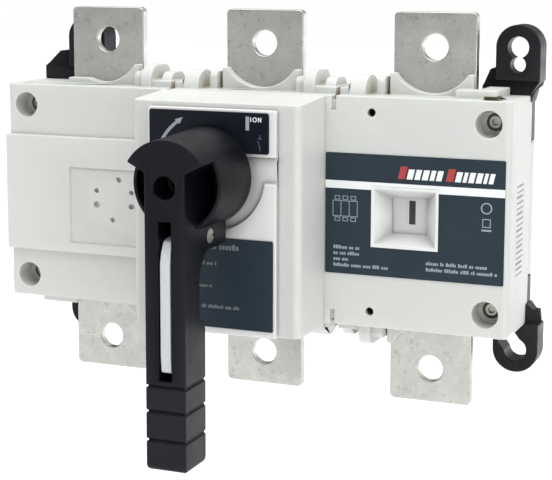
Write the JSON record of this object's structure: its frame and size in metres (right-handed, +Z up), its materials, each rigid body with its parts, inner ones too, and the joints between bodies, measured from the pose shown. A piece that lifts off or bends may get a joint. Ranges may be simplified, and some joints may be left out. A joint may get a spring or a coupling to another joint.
{
  "type": "rotary isolator switch",
  "caption": "Panel-mounted rotary isolator switch with a padlockable turning handle, flat bolt-on terminals, a position window and corner mounting feet.",
  "frame": {"origin": "on the mounting panel's plane, straight behind the middle pole and midway between the line and load terminal holes", "axes": "+X along the row of poles to the right as seen from the front, +Y back into the mounting panel, +Z up towards the line terminals"},
  "size_m": [0.234, 0.1137, 0.1752],
  "materials": {
    "housing_plastic": "fine moulded texture",
    "base_plastic": "fine moulded texture",
    "face_plastic": "smooth moulded",
    "navy_label": "printed film",
    "slate_label": "printed film",
    "clear_plastic": "polished",
    "tinned_copper": "tin plated, brushed",
    "plated_steel": "zinc plated",
    "spring_steel": "satin",
    "black_steel": "black oxide",
    "chute_steel": "dull",
    "silvered_copper": "silver plated faces",
    "bush_plastic": "smooth",
    "carriage_plastic": "glass filled",
    "flag_plastic": "printed",
    "black_plastic": "satin",
    "lever_plastic": "satin",
    "foot_plastic": "satin"
  },
  "bodies": {
    "housing": {"rear_housing": "base_plastic", "front_housing": "housing_plastic", "mechanism_housing": "housing_plastic", "control_face": "face_plastic", "side_cover": "housing_plastic", "upper_label": "navy_label", "lower_label": "slate_label", "rating_label": "slate_label", "window_frame": "face_plastic", "window_pane": "clear_plastic", "line_terminal_left": "tinned_copper", "line_terminal_middle": "tinned_copper", "line_terminal_right": "tinned_copper", "load_terminal_left": "tinned_copper", "load_terminal_middle": "tinned_copper", "load_terminal_right": "tinned_copper", "arc_plates_left": "chute_steel", "arc_plates_middle": "chute_steel", "arc_plates_right": "chute_steel", "shaft_bush": "bush_plastic", "snap_spring": "spring_steel", "foot_top_left": "foot_plastic", "foot_top_right": "foot_plastic", "foot_bottom_left": "foot_plastic", "foot_bottom_right": "foot_plastic", "housing_screws": "plated_steel", "housing_nuts": "plated_steel", "mechanism_screws": "plated_steel"},
    "handle": {"handle": "black_plastic", "handle_screw": "black_steel", "drive_shaft": "plated_steel", "crank_disc": "chute_steel", "crank_pin": "plated_steel", "retaining_ring": "spring_steel", "lever_pin": "plated_steel"},
    "carriage": {"crossbar": "carriage_plastic", "bridge_contact_left": "silvered_copper", "bridge_contact_middle": "silvered_copper", "bridge_contact_right": "silvered_copper", "leaf_spring_left": "spring_steel", "leaf_spring_middle": "spring_steel", "leaf_spring_right": "spring_steel", "indicator_flag": "flag_plastic"},
    "lock_lever": {"lock_lever": "lever_plastic"}
  },
  "joints": [
    {"name": "handle_turn", "type": "hinge", "parent": "housing", "child": "handle", "pos_m": [-0.003, -0.09, 0.017], "axis": [0, -1, 0], "range_deg": [0, 90]},
    {"name": "carriage_slide", "type": "slide", "parent": "housing", "child": "carriage", "axis": [1, 0, 0], "range_m": [0, 0.01707]},
    {"name": "lever_swing", "type": "hinge", "parent": "handle", "child": "lock_lever", "pos_m": [-0.003, -0.0901, -0.0044], "axis": [-1, 0, 0], "range_deg": [0, 30]}
  ],
  "couplings": [
    {"joint": "carriage_slide", "follows": "handle_turn", "m_per_rad": 0.010804}
  ]
}
